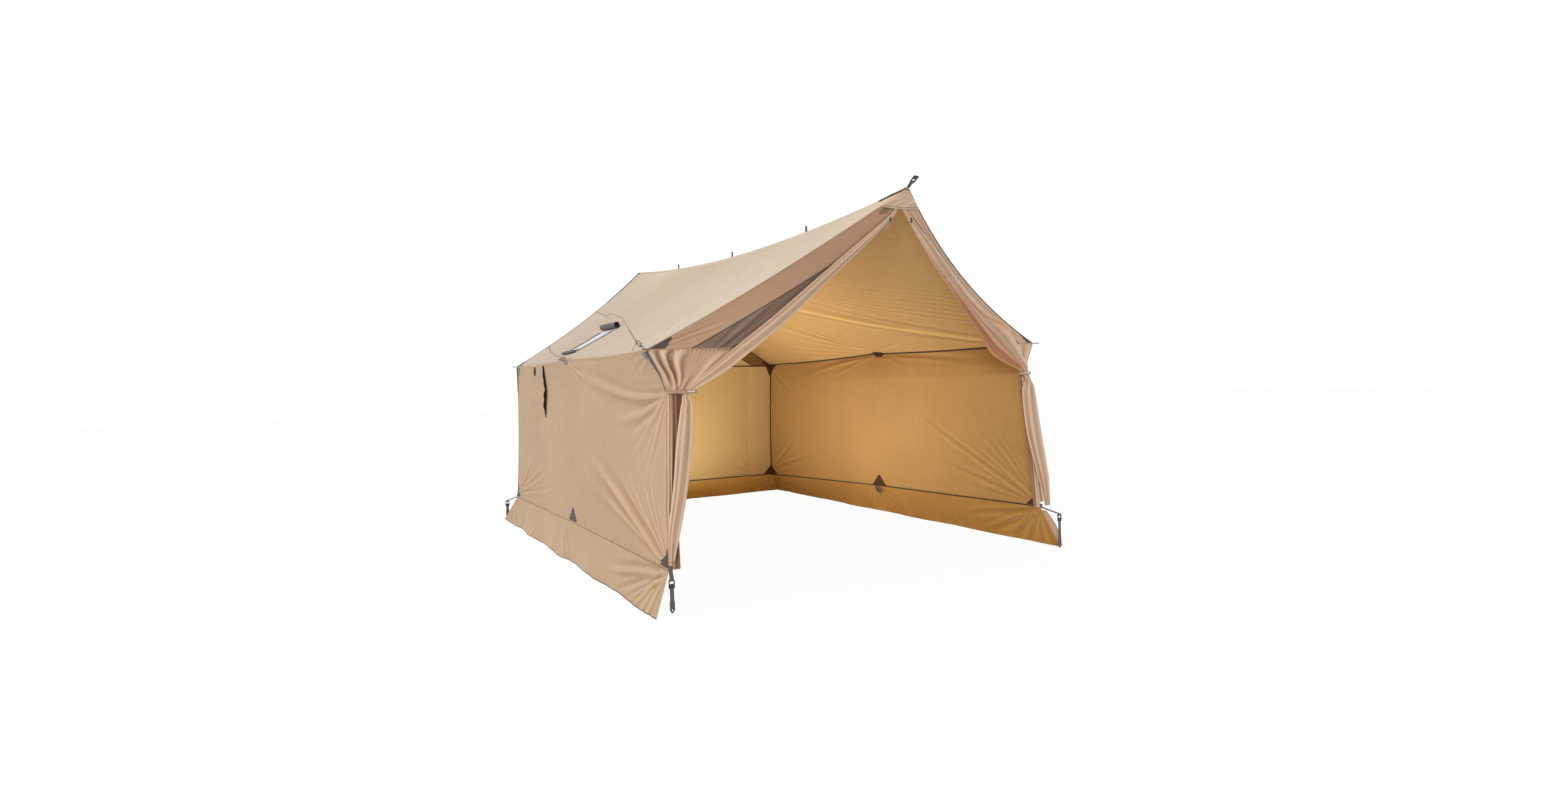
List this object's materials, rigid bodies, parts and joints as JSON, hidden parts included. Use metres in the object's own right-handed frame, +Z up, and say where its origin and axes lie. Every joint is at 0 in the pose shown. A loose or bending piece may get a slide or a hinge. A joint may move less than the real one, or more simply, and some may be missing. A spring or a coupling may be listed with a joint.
{
  "type": "hot tent",
  "caption": "Ridge tent of thin canvas with upright walls, ground skirts, tied-back front doors, a stove jack in the roof slope, and webbing loops and guylines.",
  "frame": {"origin": "on the floor in the middle of the whole length and width", "axes": "+Z up, the open front faces -Y, +X to the right of someone looking in at the front"},
  "size_m": [2.8599, 4.2589, 2.2706],
  "materials": {
    "band_cloth": "coated cloth",
    "cord": "braided cord",
    "dark_plastic": "moulded",
    "leaf_cloth": "satin coated cloth",
    "mesh_cloth": "fine insect mesh",
    "pale_plastic": "moulded",
    "roof_cloth": "proofed canvas",
    "skirt_cloth": "coated cloth",
    "stove_panel": "heat-proof cloth",
    "wall_cloth": "proofed canvas",
    "webbing": "woven webbing",
    "zip_tape": "woven zip tape"
  },
  "bodies": {
    "tent": {"anchor_webbing_back_left": "webbing", "anchor_webbing_back_right": "webbing", "anchor_webbing_front_left": "webbing", "anchor_webbing_front_right": "webbing", "back_door_leaf_left": "wall_cloth", "back_door_leaf_right": "wall_cloth", "back_gable_band_left": "band_cloth", "back_gable_band_right": "band_cloth", "back_hood": "band_cloth", "back_peak_webbing": "webbing", "back_zip": "zip_tape", "front_door_leaf_left": "leaf_cloth", "front_door_leaf_right": "leaf_cloth", "front_gable_band_left": "band_cloth", "front_gable_band_right": "band_cloth", "front_hood": "band_cloth", "front_mesh_left": "mesh_cloth", "front_peak_webbing": "webbing", "front_wall_strip_left": "leaf_cloth", "front_wall_strip_right": "leaf_cloth", "guy_loop_back_left": "webbing", "guy_loop_back_right": "webbing", "guy_loop_front_left": "webbing", "guy_loop_front_right": "webbing", "guy_loop_middle_left": "webbing", "guy_loop_middle_right": "webbing", "guyline_roof": "cord", "guyline_side": "cord", "ridge_loop_1": "webbing", "ridge_loop_2": "webbing", "ridge_loop_3": "webbing", "roof_panel_left": "roof_cloth", "roof_panel_right": "roof_cloth", "snow_skirt_back": "skirt_cloth", "snow_skirt_left": "skirt_cloth", "snow_skirt_right": "skirt_cloth", "stake_loop_middle_left": "webbing", "stake_loop_middle_right": "webbing", "stove_jack_flap": "stove_panel", "stove_jack_panel": "stove_panel", "tie_band_left": "webbing", "tie_band_right": "webbing", "wall_panel_left": "wall_cloth", "wall_panel_right": "wall_cloth"},
    "lock_front_left": {"ladder_lock_front_left": "dark_plastic"},
    "strap_front_left": {"stake_strap_front_left": "webbing"},
    "lock_front_right": {"ladder_lock_front_right": "dark_plastic"},
    "strap_front_right": {"stake_strap_front_right": "webbing"},
    "lock_back_left": {"ladder_lock_back_left": "dark_plastic"},
    "strap_back_left": {"stake_strap_back_left": "webbing"},
    "lock_back_right": {"ladder_lock_back_right": "dark_plastic"},
    "strap_back_right": {"stake_strap_back_right": "webbing"},
    "peak_buckle": {"front_peak_buckle": "dark_plastic"},
    "toggle_left": {"tie_toggle_left": "pale_plastic"},
    "zip_pull_left": {"front_zip_slider_left": "dark_plastic"},
    "toggle_right": {"tie_toggle_right": "pale_plastic"},
    "zip_pull_right": {"front_zip_slider_right": "dark_plastic"},
    "back_slider": {"back_zip_slider": "dark_plastic"},
    "vent_flap": {"wall_vent_flap": "wall_cloth"},
    "tensioner": {"guyline_tensioner": "dark_plastic"}
  },
  "joints": [
    {"name": "lock_hinge_front_left", "type": "hinge", "parent": "tent", "child": "lock_front_left", "pos_m": [-1.309, -1.7505, 0.169], "axis": [1, 0, 0], "range_deg": [-60, 12]},
    {"name": "strap_slide_front_left", "type": "slide", "parent": "lock_front_left", "child": "strap_front_left", "axis": [0, 0, 1], "range_m": [0, 0.0104]},
    {"name": "lock_hinge_front_right", "type": "hinge", "parent": "tent", "child": "lock_front_right", "pos_m": [1.401, -1.8325, 0.22], "axis": [1, 0, 0], "range_deg": [-60, 6]},
    {"name": "strap_slide_front_right", "type": "slide", "parent": "lock_front_right", "child": "strap_front_right", "axis": [0, 0, 1], "range_m": [0, 0.0104]},
    {"name": "lock_hinge_back_left", "type": "hinge", "parent": "tent", "child": "lock_back_left", "pos_m": [-1.376, 2.0265, 0.146], "axis": [1, 0, 0], "range_deg": [-12, 60]},
    {"name": "strap_slide_back_left", "type": "slide", "parent": "lock_back_left", "child": "strap_back_left", "axis": [0, 0, 1], "range_m": [0, 0.0104]},
    {"name": "lock_hinge_back_right", "type": "hinge", "parent": "tent", "child": "lock_back_right", "pos_m": [1.296, 2.0325, 0.127], "axis": [1, 0, 0], "range_deg": [-12, 60]},
    {"name": "strap_slide_back_right", "type": "slide", "parent": "lock_back_right", "child": "strap_back_right", "axis": [0, 0, 1], "range_m": [0, 0.0104]},
    {"name": "peak_buckle_hinge", "type": "hinge", "parent": "tent", "child": "peak_buckle", "pos_m": [0.024, -2.10107, 2.22685], "axis": [1, 0, 0], "range_deg": [-20, 40]},
    {"name": "toggle_turn_left", "type": "hinge", "parent": "tent", "child": "toggle_left", "pos_m": [-1.158, -1.72734, 1.12263], "axis": [0, 1, 0], "range_deg": [-80, 80]},
    {"name": "zip_pull_swing_left", "type": "hinge", "parent": "tent", "child": "zip_pull_left", "pos_m": [-0.03429, -1.97288, 2.05048], "axis": [0, 1, 0], "range_deg": [-40, 40]},
    {"name": "toggle_turn_right", "type": "hinge", "parent": "tent", "child": "toggle_right", "pos_m": [1.21213, -1.75906, 1.16715], "axis": [0, 1, 0], "range_deg": [-80, 80]},
    {"name": "zip_pull_swing_right", "type": "hinge", "parent": "tent", "child": "zip_pull_right", "pos_m": [0.10816, -1.97705, 2.05318], "axis": [0, 1, 0], "range_deg": [-40, 40]},
    {"name": "back_zip_slide", "type": "slide", "parent": "tent", "child": "back_slider", "axis": [0.0112, -0.0397, 0.9991], "range_m": [0, 1.098]},
    {"name": "vent_flap_hinge", "type": "hinge", "parent": "tent", "child": "vent_flap", "pos_m": [-1.28988, 1.06897, 1.34375], "axis": [-0.0203, -0.9998, -0.004], "range_deg": [-150, 0]},
    {"name": "tensioner_slide", "type": "slide", "parent": "tent", "child": "tensioner", "axis": [0.2393, 0.9675, 0.0821], "range_m": [-0.03, 0.03]}
  ]
}
